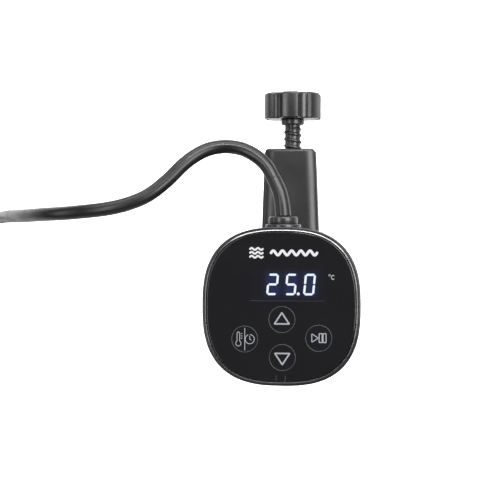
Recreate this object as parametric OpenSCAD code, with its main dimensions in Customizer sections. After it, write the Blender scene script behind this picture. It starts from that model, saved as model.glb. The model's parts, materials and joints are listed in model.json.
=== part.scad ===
// Sous vide circulator: an upright stick that stirs and heats a water bath.
// Millimetres. +Z is up, the origin is the centre of the base on the surface it stands on,
// the control panel faces up, the reader stands on the -Y side and the clamp reaches out along +Y.

/* [Head] */
// Width and depth of the square-round head
head_w = 90; // [80:1:100]
// Exponent of the superellipse that the head follows in plan
head_exp = 2.65; // [2.2:0.05:4]
// Total height, from the surface to the glass
total_h = 395; // [380:1:420]
// Height of the head above the neck
head_h = 52; // [50:1:60]
// Wall thickness of the mouldings
wall = 2.5; // [2:0.1:3]

/* [Neck and tube] */
// Outer diameter of the plastic neck
neck_d = 64; // [60:1:66]
// Outer diameter of the stainless tube
tube_d = 54; // [52:1:56]
// Wall thickness of the stainless tube
tube_wall = 0.8; // [0.6:0.1:1]
// Height at which the tube enters the neck
neck_z = 262; // [250:1:270]
// Height of the removable base cap
cap_h = 56; // [50:1:60]

/* [Clamp] */
// Width of the clamp arm at its root
arm_root_w = 34.5; // [30:0.2:38]
// Width of the clamp arm at its end
arm_end_w = 31; // [28:0.2:34]
// Distance from the axis to the end of the clamp arm
arm_end_y = 92.6; // [90:0.1:95]
// Thickness of the clamp arm
arm_t = 9; // [8:0.5:10]
// Depth of the arm's top below the glass
arm_drop = 54; // [53:1:58]
// Outer diameter of the clamp screw's thread
screw_d = 11.1; // [9:0.1:12]
// Pitch of the clamp screw's thread
screw_pitch = 4; // [3:0.5:5]
// Travel of the clamp screw
screw_travel = 14.5; // [10:0.5:15]
// Diameter of the six-lobed knob
knob_d = 35.4; // [32:0.2:36]
// Length of the knob
knob_l = 16; // [12:1:20]

/* [Drive] */
// Diameter of the drive shaft
shaft_d = 4; // [3:0.5:5]
// Diameter of the impeller
impeller_d = 36; // [30:1:40]
// Number of impeller blades
blades = 6; // [3:1:8]
// Diameter of the motor
motor_d = 36; // [30:1:40]
// Diameter of the heater's rod
heater_d = 6.4; // [5:0.2:7]

/* [Supply lead] */
// Diameter of the supply lead
cord_d = 8.2; // [6:0.1:9]
// Diameter of the plug's body
plug_d = 36; // [30:1:40]
// Mean radius of the outer turns of the coiled lead
coil_r = 49.1; // [45:0.1:52]

/* [Hidden] */
$fn = 72;
EDGE = 96;                          // points on a superellipse outline
eps = 0.01;
fit = 0.05;                         // radial clearance of a running fit
gap = 0.3;                          // air between a turning part and a fixed one

head_a = head_w / 2;
glass_a = head_a - 3.1;
glass_t = 2.8;
trim_a = glass_a + 0.2;
bezel_a = glass_a + 1.1;
taper = 1.4;                        // how much the head narrows from its top to its waist
bezel_h = 6;
ledge_a = glass_a - 2;
seal_t = 0.8;
neck_top = total_h - head_h;
waist_z = neck_top + 14;            // where the head's straight sides begin
shell_top = total_h - bezel_h;
neck_r = neck_d / 2;
bore_r = neck_r - wall;             // inside of the neck
tube_r = tube_d / 2;
tube_in = tube_r - tube_wall;

board_z = total_h - 11;             // underside of the control board
board_t = 1.6;
power_z = neck_top + 19;            // underside of the power board
// Posts that hold both boards, clear of the display and the touch keys
posts = [[-24, 22], [24, 22], [-14.5, -29], [14.5, -29]];
key_y = -18.4;                      // centre of the ring of four touch keys
keys = [[0, key_y + 10.6], [-21.2, key_y], [21.2, key_y], [0, key_y - 10.4]];

arm_top = total_h - arm_drop;
arm_low = arm_top - arm_t;
screw_z = arm_top - 20;
leg_y = arm_end_y - 16.7;           // inner face of the clamp's leg
leg_low = screw_z - 21;
leg_low_w = 24;                     // the leg narrows to this at its lower end
jaw_y = 42;                         // face that carries the fixed jaw's strip
strip_t = 3;
screw_r = screw_d / 2;
core_r = screw_r - 0.75;
thread_y = leg_y - 0.5;             // where the thread starts
insert_r = 7.5;
rim_l = 0.6;                        // the brass insert's rim, outside the leg
collar_y = arm_end_y + rim_l + screw_travel + 0.2;
collar_l = 3.6;
collar_r = 7.15;
knob_y = collar_y + collar_l;
knob_recess_r = 9.5;                // seat of the disc in the knob's face
pad_r = 9;
tip_r = 3.2;
tip_l = 6.5;                        // plain end of the screw, inside the pad's holder
ear_x = 40;                         // outer face of the ears that join the collar's halves
ear_low = screw_z - 12;
ear_high = screw_z + 4;
ear_l = 6;
split = 0.5;                        // half of the air between the collar's halves
band_t = 4;
ear_screw_x = 37.4;
ear_screw_z = screw_z - 4;

mount_z = 284;                      // underside of the motor's plate
motor_l = 40;
shaft_r = shaft_d / 2;
shaft_low = 16;                     // lower end of the drive shaft
hub_z = 24;                         // underside of the impeller
coupler_z = neck_z + 2;
coupler_l = 16;
plate_z = neck_z - 8;               // underside of the plate that closes the tube
heater_r = heater_d / 2;
heater_c = 11.4;                    // offset of each heater leg from the axis
heater_low = 86;
probe_x = 22;
probe_r = 2;
rod_x = -20.6;
rod_y = 4;
rod_r = 1.5;
skirt_z = cap_h + 2;                // lower end of the stainless tube

foot_h = 3;
cap_in = tube_r - 2.4;
spigot_r = cap_in - gap;
lug_z = cap_h - 8;
lug_r = spigot_r + 1.2;

gland_z = total_h - 14.5;
gland_y = head_a;
gland_l = 6;
gland_r = 8.4;
flange_r = 10.2;
flange_t = 1.6;
barrel_r = 6.5;                     // the gland's shank, through the head's wall
nut_r = 8.4;
cord_r = cord_d / 2;
sleeve_r = cord_r + 0.6;

// Route of the lead's middle, from the gland to the surface beside the base
route = [
    [0, 51, 380.5], [-0.7, 58.2, 379.8], [-2.4, 65.5, 378.3], [-5.9, 73, 376.3], [-10.4, 80.5, 374.5],
    [-16.6, 86.2, 373.2], [-25.6, 90.7, 372.6], [-36.8, 91.8, 373.3], [-47.2, 89.1, 376],
    [-57.4, 82, 379.8], [-67.5, 71.6, 383.5], [-77.6, 63.4, 387], [-88.6, 58.5, 389.3],
    [-101, 55.6, 389.7], [-116, 54, 386.5], [-131, 53, 379], [-147, 52.5, 366], [-163, 52, 346],
    [-178, 52, 321], [-192, 52, 291], [-205, 52, 257], [-217, 52, 221], [-229, 52, 184],
    [-241, 52, 147], [-253, 52.5, 110], [-265, 53, 76], [-278, 53, 46], [-293, 53, 22],
    [-311, 53, 8], [-330, 53, 4.1]
];
sleeve_points = 4;                  // points of the route that the strain relief covers
coil_c = [-345, 4];
coil_layers = 2;
plug_x = coil_c[0] - 45;
plug_z = coil_layers * cord_d + plug_d / 2;
plug_y = 18;                        // where the lead enters the plug
grip_y = plug_y - 20;               // end of the plug's strain relief
rim_y = plug_y - 30;                // where the plug's full diameter begins
face_y = plug_y - 54;               // face that carries the pins
// Route of the lead's free end, from the top of the coil to the plug
tail = [
    [-345, 53, 12.3], [-359, 50.5, 16], [-372, 44, 22], [-381, 35, 28.5], [-386.5, 26, 32.2],
    [plug_x, plug_y, plug_z]
];

function signed_pow(v, p) = sign(v) * pow(abs(v), p);
function superellipse(a) = [
    for (i = [0 : EDGE - 1])
        let (t = 360 * i / EDGE)
        a * [signed_pow(cos(t), 2 / head_exp), signed_pow(sin(t), 2 / head_exp)]
];
function unit(v) = v / norm(v);
function heading(path, i) =
    unit(path[min(i + 1, len(path) - 1)] - path[max(i - 1, 0)]);
// A point of the smooth curve between p1 and p2
function curve_at(p0, p1, p2, p3, t) =
    0.5 * (2 * p1 + (p2 - p0) * t + (2 * p0 - 5 * p1 + 4 * p2 - p3) * t * t
        + (3 * p1 - p0 - 3 * p2 + p3) * t * t * t);
// The path as a smooth curve, with `steps` spans on each of its stretches
function smooth(path, steps) = [
    for (i = [0 : len(path) - 2])
        for (k = [0 : steps - 1])
            curve_at(path[max(i - 1, 0)], path[i], path[i + 1], path[min(i + 2, len(path) - 1)],
                k / steps),
    path[len(path) - 1]
];
function part_of(path, first, last) = [for (i = [first : last]) path[i]];
function ring(c, d, r, sides, side_hint) =
    let (u = unit(cross(d, side_hint)), v = cross(d, u))
    [for (k = [0 : sides - 1]) c + r * (cos(360 * k / sides) * u + sin(360 * k / sides) * v)];

// A closed tube along the path, whose radius goes evenly from r1 to r2
module swept_tube(path, r1, r2, sides = 10, side_hint = [0.3, 0.2, 1]) {
    n = len(path);
    points = [
        for (i = [0 : n - 1])
            each ring(path[i], heading(path, i), r1 + (r2 - r1) * i / (n - 1), sides, side_hint)
    ];
    walls = [
        for (i = [0 : n - 2], k = [0 : sides - 1])
            [i * sides + k, i * sides + (k + 1) % sides,
             (i + 1) * sides + (k + 1) % sides, (i + 1) * sides + k]
    ];
    first = [for (k = [sides - 1 : -1 : 0]) k];
    last = [for (k = [0 : sides - 1]) (n - 1) * sides + k];
    polyhedron(points, concat([first], walls, [last]));
}

module head_plate(a, z, h) {
    translate([0, 0, z]) linear_extrude(h) polygon(superellipse(a));
}

module tube(r_out, r_in, z, h) {
    translate([0, 0, z]) difference() {
        cylinder(r = r_out, h = h);
        translate([0, 0, -1]) cylinder(r = r_in, h = h + 2);
    }
}

// A cylinder along +Y that starts at y
module y_rod(r, y, l, x = 0, z = screw_z) {
    translate([x, y, z]) rotate([-90, 0, 0]) cylinder(r = r, h = l);
}

module block(x1, x2, y1, y2, z1, z2) {
    translate([x1, y1, z1]) cube([x2 - x1, y2 - y1, z2 - z1]);
}

module stadium(w, h) {
    square([w, h - w], center = true);
    for (s = [-1, 1]) translate([0, s * (h - w) / 2]) circle(d = w);
}

module at_posts() {
    for (p = posts) translate([p[0], p[1], 0]) children();
}

// ---- Head ----

module glass_panel() {
    color([0.06, 0.06, 0.08]) head_plate(glass_a, total_h - glass_t, glass_t);
}

module panel_gasket() {
    color([0.1, 0.1, 0.1]) difference() {
        head_plate(glass_a, total_h - glass_t - seal_t, seal_t);
        head_plate(ledge_a, total_h - glass_t - seal_t - 1, seal_t + 2);
    }
}

module trim_ring() {
    h = glass_t + seal_t - 0.4;
    color([0.6, 0.6, 0.62]) difference() {
        head_plate(bezel_a, total_h - glass_t - seal_t, h);
        head_plate(trim_a, total_h - glass_t - seal_t - 1, h + 2);
    }
}

module head_bezel() {
    ledge_h = bezel_h - glass_t - seal_t;
    notch_x = 2.6;
    color([0.16, 0.16, 0.17]) difference() {
        head_plate(head_a, shell_top, bezel_h - 0.6);
        head_plate(ledge_a, shell_top - 1, bezel_h + 2);
        head_plate(bezel_a, shell_top + ledge_h, bezel_h);
        for (s = [-1, 1])
            block(s * notch_x - 0.25, s * notch_x + 0.25, -head_a - 1, -bezel_a + 1,
                total_h - 1.4, total_h);
    }
}

module head_solid(inset) {
    hull() {
        head_plate(head_a - inset, shell_top - 1, 1);
        head_plate(head_a - taper - inset, waist_z, 1);
    }
    hull() {
        head_plate(head_a - taper - inset, waist_z, 1);
        translate([0, 0, neck_top]) cylinder(r = neck_r + 1 - inset, h = 1, $fn = 48);
    }
}

module head_shell() {
    post_r = 3.2;
    color([0.17, 0.17, 0.18]) difference() {
        union() {
            difference() {
                head_solid(0);
                head_solid(wall);
                translate([0, 0, neck_top - 1]) cylinder(r = bore_r, h = 4);
                head_plate(head_a - wall, shell_top - 1, 2);
            }
            at_posts() translate([0, 0, neck_top + 4]) cylinder(r = post_r, h = power_z - neck_top - 4);
        }
        at_posts() translate([0, 0, power_z - 9]) cylinder(r = 1.4, h = 10);
        y_rod(6.6, head_a - wall - 2, wall + 4, z = gland_z);
    }
}

module control_board() {
    color([0.1, 0.3, 0.18]) difference() {
        head_plate(glass_a - 4.5, board_z, board_t);
        at_posts() translate([0, 0, board_z - 1]) cylinder(r = 1.6, h = board_t + 2);
    }
}

module display_module() {
    color([0.08, 0.08, 0.1])
        block(-17, 25, 3.5, 19.2, board_z + board_t, total_h - glass_t - 0.4);
}

module touch_springs() {
    color([0.75, 0.75, 0.75]) for (k = keys)
        translate([k[0], k[1], 0])
            tube(6, 4.6, board_z + board_t, 11 - board_t - glass_t);
}

module buzzer() {
    color([0.05, 0.05, 0.05]) translate([-22, 9, board_z - 6]) difference() {
        cylinder(r = 5.5, h = 6);
        translate([0, 0, -1]) cylinder(r = 1, h = 3);
    }
}

module board_spacers() {
    color([0.8, 0.65, 0.3]) at_posts()
        translate([0, 0, power_z + board_t]) cylinder(r = 3, h = board_z - power_z - board_t, $fn = 6);
}

module power_board() {
    color([0.1, 0.3, 0.18]) difference() {
        block(-30, 30, -32, 28, power_z, power_z + board_t);
        at_posts() translate([0, 0, power_z - 1]) cylinder(r = 1.6, h = board_t + 2);
        for (x = [-9, 9]) translate([x, -7, power_z - 1]) cylinder(r = 2.2, h = 4);
    }
}

module transformer() {
    z = power_z + board_t;
    color([0.75, 0.65, 0.2]) {
        block(-9, 17, 4, 20, z, z + 16);
        block(-3, 11, 1, 23, z + 2, z + 14);
    }
}

module filter_capacitor() {
    color([0.2, 0.2, 0.45])
        translate([-15, -15, power_z + board_t]) cylinder(r = 6, h = 16);
}

module relay() {
    z = power_z + board_t;
    color([0.1, 0.2, 0.5]) block(4, 22, -18.5, -10, z, z + 14);
}

module heat_sink() {
    z = power_z + board_t;
    color([0.7, 0.7, 0.72]) {
        block(-27, -13, 1, 17, z, z + 3);
        for (i = [0 : 4]) block(-27 + 3 * i, -25.4 + 3 * i, 1, 17, z, z + 12);
    }
}

module terminal_block() {
    z = power_z + board_t;
    color([0.2, 0.5, 0.3]) difference() {
        block(-8, 8, -27, -20, z, z + 9);
        for (x = [-5, 0, 5]) translate([x, -23.5, z + 4]) cylinder(r = 1.5, h = 6);
    }
}

module board_screws() {
    color([0.7, 0.7, 0.7]) at_posts() {
        translate([0, 0, board_z + board_t]) cylinder(r = 2.6, h = 1.6);
        translate([0, 0, power_z - 8]) cylinder(r = 1.38, h = 8 + eps);
    }
}

// ---- Neck, motor and tube ----

module neck_housing() {
    groove = 1.5;
    color([0.17, 0.17, 0.18]) difference() {
        translate([0, 0, neck_z]) cylinder(r = neck_r, h = neck_top - neck_z);
        translate([0, 0, neck_z + 8]) cylinder(r = bore_r, h = neck_top - neck_z);
        translate([0, 0, neck_z - 1]) cylinder(r = tube_r, h = 20);
        translate([0, 0, neck_z + 3]) cylinder(r = tube_r + groove, h = 2);
    }
}

module motor_plate() {
    color([0.6, 0.6, 0.6]) difference() {
        translate([0, 0, mount_z]) cylinder(r = bore_r, h = 3);
        translate([0, 0, mount_z - 1]) cylinder(r = 7, h = 5);
        for (a = [45 : 90 : 315]) rotate([0, 0, a]) translate([24, 0, mount_z - 1])
            cylinder(r = 2.4, h = 5);
    }
}

module motor_can() {
    color([0.55, 0.55, 0.58]) difference() {
        union() {
            translate([0, 0, mount_z + 3]) cylinder(d = motor_d, h = motor_l);
            translate([0, 0, mount_z - 1]) cylinder(r = 5, h = 5);
            translate([0, 0, mount_z + 3 + motor_l]) cylinder(r = 6, h = 3);
        }
        translate([0, 0, mount_z - 2]) cylinder(r = 1.5 + fit, h = 36);
    }
}

module motor_shaft() {
    color([0.8, 0.8, 0.8])
        translate([0, 0, coupler_z + 8]) cylinder(r = 1.5, h = mount_z + 33 - coupler_z - 8);
}

module shaft_coupler() {
    color([0.7, 0.7, 0.72]) difference() {
        translate([0, 0, coupler_z]) cylinder(r = 6, h = coupler_l);
        translate([0, 0, coupler_z - 1]) cylinder(r = shaft_r, h = 9);
        translate([0, 0, coupler_z + 7]) cylinder(r = 1.5, h = coupler_l);
    }
}

module drive_shaft() {
    color([0.82, 0.82, 0.83])
        translate([0, 0, shaft_low]) cylinder(r = shaft_r, h = coupler_z + 8 - shaft_low);
}

module impeller() {
    color([0.12, 0.12, 0.12]) difference() {
        union() {
            translate([0, 0, hub_z]) cylinder(r = 5, h = 14);
            translate([0, 0, hub_z + 10]) cylinder(d = impeller_d, h = 1.6);
            for (i = [0 : blades - 1]) rotate([0, 0, 360 * i / blades])
                block(3, impeller_d / 2 - 0.5, -0.8, 0.8, hub_z, hub_z + 11);
        }
        translate([0, 0, hub_z - 1]) cylinder(r = shaft_r, h = 20);
    }
}

module impeller_nut() {
    color([0.8, 0.8, 0.8]) difference() {
        translate([0, 0, hub_z - 4]) cylinder(r = 4, h = 4, $fn = 6);
        translate([0, 0, hub_z - 5]) cylinder(r = shaft_r, h = 6);
    }
}

module at_heater_legs() {
    for (x = [-heater_c, heater_c], y = [-heater_c, heater_c]) translate([x, y, 0]) children();
}

module tube_plate() {
    color([0.15, 0.15, 0.15]) difference() {
        translate([0, 0, plate_z]) cylinder(r = tube_in, h = neck_z - plate_z);
        translate([0, 0, plate_z - 1]) cylinder(r = 5, h = 12);
        at_heater_legs() translate([0, 0, plate_z - 1]) cylinder(r = heater_r, h = 12);
        translate([probe_x, 0, plate_z - 1]) cylinder(r = probe_r, h = 12);
        for (s = [-1, 1]) translate([rod_x, s * rod_y, plate_z - 1]) cylinder(r = rod_r, h = 12);
    }
}

module tube_seal() {
    color([0.1, 0.1, 0.1]) tube(tube_r + 1.5, tube_r, neck_z + 3, 2);
}

module upper_bush() {
    color([0.75, 0.55, 0.3]) tube(5, shaft_r + fit, plate_z, neck_z - plate_z);
}

module shaft_seal() {
    color([0.1, 0.1, 0.1]) tube(6.5, shaft_r + fit, plate_z - 3, 3);
}

module steel_tube() {
    slot_w = 3;
    slot_h = 34;
    slot_z = 108;
    vent_z = 232;
    color([0.75, 0.76, 0.78]) difference() {
        tube(tube_r, tube_in, skirt_z, neck_z + 8 - skirt_z);
        for (a = [0 : 30 : 330]) rotate([0, 0, a]) translate([tube_r - 3, 0, slot_z])
            rotate([90, 0, 90]) linear_extrude(6) stadium(slot_w, slot_h);
        for (s = [-1, 1]) rotate([0, 0, 90 * s]) translate([tube_r - 3, 0, vent_z])
            rotate([0, 90, 0]) cylinder(r = 2, h = 6);
    }
}

module heating_element() {
    color([0.7, 0.7, 0.68]) for (s = [-1, 1]) translate([0, s * heater_c, 0]) {
        for (x = [-heater_c, heater_c]) translate([x, 0, heater_low])
            cylinder(r = heater_r, h = neck_z + 6 - heater_low);
        translate([0, 0, heater_low]) rotate([-90, 0, 0])
            rotate_extrude(angle = 180) translate([heater_c, 0]) circle(r = heater_r);
    }
}

module temperature_probe() {
    low = 74;
    color([0.8, 0.8, 0.8]) translate([probe_x, 0, low]) {
        cylinder(r = probe_r, h = neck_z + 4 - low);
        sphere(r = probe_r);
    }
}

module level_rods() {
    top = neck_z + 4;
    long_low = 90;
    short_low = 190;
    color([0.8, 0.8, 0.8]) {
        translate([rod_x, rod_y, long_low]) cylinder(r = rod_r, h = top - long_low);
        translate([rod_x, -rod_y, short_low]) cylinder(r = rod_r, h = top - short_low);
    }
}

module shaft_spider() {
    z = skirt_z + 2;
    color([0.15, 0.15, 0.15]) difference() {
        union() {
            tube(tube_in, tube_in - 2.4, skirt_z - 1.6, 7.6);
            tube(tube_r, spigot_r - 2.2, skirt_z - 1.7, 1.7);
            tube(spigot_r, spigot_r - 2.2, lug_z - 4, skirt_z - lug_z + 3);
            for (a = [30 : 120 : 270]) rotate([0, 0, a]) intersection() {
                tube(lug_r, spigot_r - 1, lug_z, 3);
                block(10, 40, -4, 4, lug_z - 1, lug_z + 4);
            }
            for (a = [90 : 120 : 330]) rotate([0, 0, a]) block(5, tube_in - 1, -1.5, 1.5, z, z + 4);
            translate([0, 0, z]) cylinder(r = 6.5, h = 4);
        }
        translate([0, 0, z - 1]) cylinder(r = 4, h = 8);
    }
}

module lower_bush() {
    color([0.9, 0.9, 0.85]) tube(4, shaft_r + fit, skirt_z + 1, 6);
}

module base_cap() {
    inlet_z = 27;
    color([0.17, 0.17, 0.18]) difference() {
        translate([0, 0, foot_h]) cylinder(r = tube_r, h = cap_h - foot_h);
        translate([0, 0, foot_h + 3]) cylinder(r = cap_in, h = cap_h);
        translate([0, 0, lug_z - gap]) cylinder(r = lug_r + gap, h = 3 + 2 * gap);
        for (a = [66 : 120 : 306]) rotate([0, 0, a])
            block(10, lug_r + gap, -4.6, 4.6, lug_z, cap_h + 1);
        for (a = [0 : 45 : 315]) rotate([0, 0, a]) translate([14.5, 0, foot_h - 1])
            linear_extrude(6) rotate([0, 0, 90]) stadium(5, 8);
        for (a = [-30 : 15 : 30]) rotate([0, 0, a - 90]) translate([tube_r - 4, 0, inlet_z])
            rotate([90, 0, 90]) linear_extrude(6) stadium(4.4, 22);
    }
}

module foot_ring() {
    color([0.1, 0.1, 0.1]) {
        tube(tube_r - 1, tube_r - 5, 0, foot_h);
        cylinder(r = 6, h = foot_h);
    }
}

// ---- Clamp ----

module clamp_arm_solid() {
    edge_r = 4.4;
    hull() for (x = [-1, 1]) {
        translate([x * (arm_root_w / 2 - edge_r), 33, arm_low + edge_r])
            rotate([-90, 0, 0]) cylinder(r = edge_r, h = 1, $fn = 32);
        translate([x * (arm_end_w / 2 - edge_r), arm_end_y - 1.6, arm_top - edge_r])
            rotate([-90, 0, 0]) cylinder(r = edge_r, h = 1.6, $fn = 32);
        translate([x * (arm_root_w / 2 - edge_r), 33, arm_top - edge_r])
            rotate([-90, 0, 0]) cylinder(r = edge_r, h = 1, $fn = 32);
    }
}

module clamp_leg_solid() {
    corner_r = 5;
    hull() {
        for (x = [-1, 1]) translate([x * (leg_low_w / 2 - corner_r), leg_y, leg_low + corner_r])
            rotate([-90, 0, 0]) cylinder(r = corner_r, h = arm_end_y - leg_y, $fn = 32);
        block(-arm_end_w / 2, arm_end_w / 2, leg_y, arm_end_y - 0.6, arm_low - 1, arm_top - 5);
    }
}

// The two ears on one side of the collar's split, from y for their length
module collar_ears(y) {
    for (s = [-1, 1])
        block(min(s * ear_x, s * 33), max(s * ear_x, s * 33), y, y + ear_l, ear_low, ear_high);
}

module clamp_bracket() {
    jaw_low = screw_z - 34;
    color([0.24, 0.24, 0.25]) difference() {
        union() {
            clamp_arm_solid();
            clamp_leg_solid();
            intersection() {
                tube(neck_r + band_t, neck_r, jaw_low + 8, arm_top - jaw_low - 9);
                block(-60, 60, split, 60, 0, total_h);
            }
            block(-arm_root_w / 2, arm_root_w / 2, 20, jaw_y, jaw_low, arm_top - 4);
            collar_ears(split);
        }
        translate([0, 0, jaw_low - 5]) cylinder(r = neck_r, h = 80);
        y_rod(insert_r, leg_y - 5, 40);
        for (s = [-1, 1]) y_rod(1.4, -1, 12, x = s * ear_screw_x, z = ear_screw_z);
    }
}

module clamp_band() {
    color([0.24, 0.24, 0.25]) difference() {
        union() {
            intersection() {
                tube(neck_r + band_t, neck_r, screw_z - 16, 24);
                block(-60, 60, -60, -split, 0, total_h);
            }
            collar_ears(-split - ear_l);
        }
        translate([0, 0, screw_z - 30]) cylinder(r = neck_r, h = 60);
        for (s = [-1, 1]) {
            y_rod(1.7, -10, 12, x = s * ear_screw_x, z = ear_screw_z);
            y_rod(2.8, -20, 13.5, x = s * ear_screw_x, z = ear_screw_z);
        }
    }
}

module band_screws() {
    color([0.75, 0.75, 0.76]) for (s = [-1, 1]) {
        y_rod(1.4, -split - ear_l, 12, x = s * ear_screw_x, z = ear_screw_z);
        y_rod(2.5, -split - ear_l - 2, 2, x = s * ear_screw_x, z = ear_screw_z);
    }
}

module jaw_strip() {
    color([0.1, 0.1, 0.1]) block(-14, 14, jaw_y, jaw_y + strip_t, screw_z - 31, screw_z + 9);
}

module thread_insert() {
    color([0.8, 0.62, 0.3]) difference() {
        union() {
            y_rod(insert_r, leg_y, arm_end_y - leg_y);
            y_rod(insert_r + 0.8, arm_end_y, rim_l);
        }
        y_rod(screw_r + fit, leg_y - 1, 40);
    }
}

module clamp_screw() {
    turns = floor((collar_y - thread_y) / screw_pitch);
    half = screw_pitch / 2;
    profile = concat(
        [[0, -tip_l], [tip_r, -tip_l], [tip_r, 0]],
        [for (i = [0 : turns - 1]) each [
            [core_r, i * screw_pitch], [core_r, i * screw_pitch + half * 0.5],
            [screw_r, i * screw_pitch + half], [screw_r, i * screw_pitch + half * 1.4]]],
        [[core_r, turns * screw_pitch], [core_r, collar_y - thread_y],
         [collar_r, collar_y - thread_y], [collar_r, knob_y - thread_y], [0, knob_y - thread_y]]
    );
    color([0.2, 0.2, 0.21]) translate([0, thread_y, screw_z]) rotate([-90, 0, 0])
        rotate_extrude() polygon(profile);
}

module screw_clip() {
    color([0.8, 0.8, 0.8]) difference() {
        y_rod(4.6, thread_y - 6.2, 1);
        y_rod(tip_r, thread_y - 7, 3);
    }
}

module clamp_knob() {
    lobes = 6;
    groove_r = 5.2;
    color([0.2, 0.2, 0.21]) difference() {
        y_rod(knob_d / 2, knob_y, knob_l);
        translate([0, knob_y - 1, screw_z]) rotate([-90, 0, 0])
            for (i = [0 : lobes - 1]) rotate([0, 0, 360 * (i + 0.5) / lobes + 30])
                translate([knob_d / 2 + 2.3, 0, 0]) cylinder(r = groove_r, h = knob_l + 2);
        y_rod(knob_recess_r, knob_y + knob_l - 2, 3);
    }
}

module knob_disc() {
    color([0.5, 0.5, 0.52]) y_rod(knob_recess_r, knob_y + knob_l - 2, 2.4);
}

module pad_holder() {
    y = thread_y - 7.5;
    color([0.24, 0.24, 0.25]) difference() {
        y_rod(pad_r, y, 7.4);
        y_rod(tip_r + fit, y - 1, 10);
        y_rod(5, y - 1, 3.4 + gap / 3);
    }
}

module pad_face() {
    color([0.1, 0.1, 0.1]) y_rod(pad_r, thread_y - 11.5, 4);
}

// ---- Supply lead ----

module gland_flange() {
    color([0.14, 0.14, 0.14]) difference() {
        y_rod(flange_r, gland_y, flange_t, z = gland_z);
        y_rod(barrel_r, gland_y - 1, 5, z = gland_z);
    }
}

module cord_gland() {
    color([0.14, 0.14, 0.14]) {
        y_rod(gland_r, gland_y + flange_t, gland_l - flange_t, z = gland_z);
        y_rod(barrel_r, head_a - wall - 4.5, wall + 4.5 + flange_t + eps, z = gland_z);
    }
}

module gland_nut() {
    color([0.14, 0.14, 0.14]) difference() {
        y_rod(nut_r, head_a - wall - 4.5, 3.2, z = gland_z);
        y_rod(barrel_r, head_a - wall - 5, 8, z = gland_z);
    }
}

fine = 2;                           // spans on each stretch of the route
module strain_relief() {
    color([0.13, 0.13, 0.13])
        swept_tube(smooth(part_of(route, 0, sleeve_points - 1), fine * 2), sleeve_r, cord_r + 0.3,
            12);
}

module supply_cord() {
    color([0.2, 0.2, 0.2])
        swept_tube(smooth(part_of(route, sleeve_points - 1, len(route) - 1), fine), cord_r, cord_r);
}

module cord_coil() {
    color([0.2, 0.2, 0.2]) translate([coil_c[0], coil_c[1], 0])
        tube(coil_r + cord_r, coil_r - 3 * cord_r, 0, coil_layers * cord_d);
}

module cord_tail() {
    color([0.2, 0.2, 0.2]) swept_tube(smooth(tail, fine), cord_r, cord_r);
}

module coil_tie() {
    h = coil_layers * cord_d;
    r1 = coil_r - 3 * cord_r;
    r2 = coil_r + cord_r;
    color([0.1, 0.1, 0.1]) translate([coil_c[0], coil_c[1], 0]) difference() {
        block(r1 - 1, r2 + 1, -7, 7, 0, h + 1);
        tube(r2, r1, -1, h + 1);
    }
}

module plug_body() {
    color([0.14, 0.14, 0.14]) {
        translate([plug_x, plug_y, plug_z]) rotate([90, 0, 0])
            cylinder(r1 = 5, r2 = 6.5, h = plug_y - grip_y);
        translate([plug_x, grip_y, plug_z]) rotate([90, 0, 0])
            cylinder(r1 = 12, r2 = 16, h = grip_y - rim_y);
        translate([plug_x, rim_y, plug_z]) rotate([90, 0, 0])
            cylinder(d = plug_d, h = rim_y - face_y);
    }
}

module plug_pins() {
    color([0.8, 0.8, 0.8]) for (s = [-1, 1])
        translate([plug_x + s * 9.5, face_y, plug_z]) rotate([90, 0, 0]) {
            cylinder(r = 2.4, h = 18);
            translate([0, 0, 18]) cylinder(r1 = 2.4, r2 = 1.4, h = 1);
        }
}

glass_panel();
panel_gasket();
trim_ring();
head_bezel();
head_shell();
control_board();
display_module();
touch_springs();
buzzer();
board_spacers();
power_board();
transformer();
filter_capacitor();
relay();
heat_sink();
terminal_block();
board_screws();
neck_housing();
motor_plate();
motor_can();
motor_shaft();
shaft_coupler();
drive_shaft();
impeller();
impeller_nut();
tube_plate();
tube_seal();
upper_bush();
shaft_seal();
steel_tube();
heating_element();
temperature_probe();
level_rods();
shaft_spider();
lower_bush();
base_cap();
foot_ring();
clamp_bracket();
clamp_band();
band_screws();
jaw_strip();
thread_insert();
clamp_screw();
screw_clip();
clamp_knob();
knob_disc();
pad_holder();
pad_face();
gland_flange();
cord_gland();
gland_nut();
strain_relief();
supply_cord();
cord_coil();
cord_tail();
coil_tie();
plug_body();
plug_pins();
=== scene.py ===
"""Sous vide circulator: the visual model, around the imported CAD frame. Metres, +Z up."""
import json
import math

import bmesh
import bpy
from mathutils import Matrix, Vector


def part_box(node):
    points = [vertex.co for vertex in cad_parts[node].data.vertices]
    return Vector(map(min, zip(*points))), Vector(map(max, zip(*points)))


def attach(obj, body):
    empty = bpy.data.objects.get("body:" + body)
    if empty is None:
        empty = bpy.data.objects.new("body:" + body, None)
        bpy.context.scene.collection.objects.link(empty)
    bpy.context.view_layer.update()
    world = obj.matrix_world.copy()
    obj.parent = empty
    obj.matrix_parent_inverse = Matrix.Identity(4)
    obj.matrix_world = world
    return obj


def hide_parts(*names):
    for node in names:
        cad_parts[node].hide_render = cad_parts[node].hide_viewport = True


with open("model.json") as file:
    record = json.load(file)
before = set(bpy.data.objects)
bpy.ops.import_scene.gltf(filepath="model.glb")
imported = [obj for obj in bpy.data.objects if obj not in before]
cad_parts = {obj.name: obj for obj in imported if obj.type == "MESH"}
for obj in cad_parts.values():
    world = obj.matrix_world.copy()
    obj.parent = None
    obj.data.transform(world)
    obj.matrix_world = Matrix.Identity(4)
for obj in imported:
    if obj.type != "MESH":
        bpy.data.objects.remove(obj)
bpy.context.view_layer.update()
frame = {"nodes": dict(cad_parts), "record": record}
MM = 0.001


def mm(*values):
    return tuple(v * MM for v in values)


def mm_each(*points):
    return [mm(*p) for p in points]


def clamp(value):
    return min(1.0, max(0.0, value))


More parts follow.
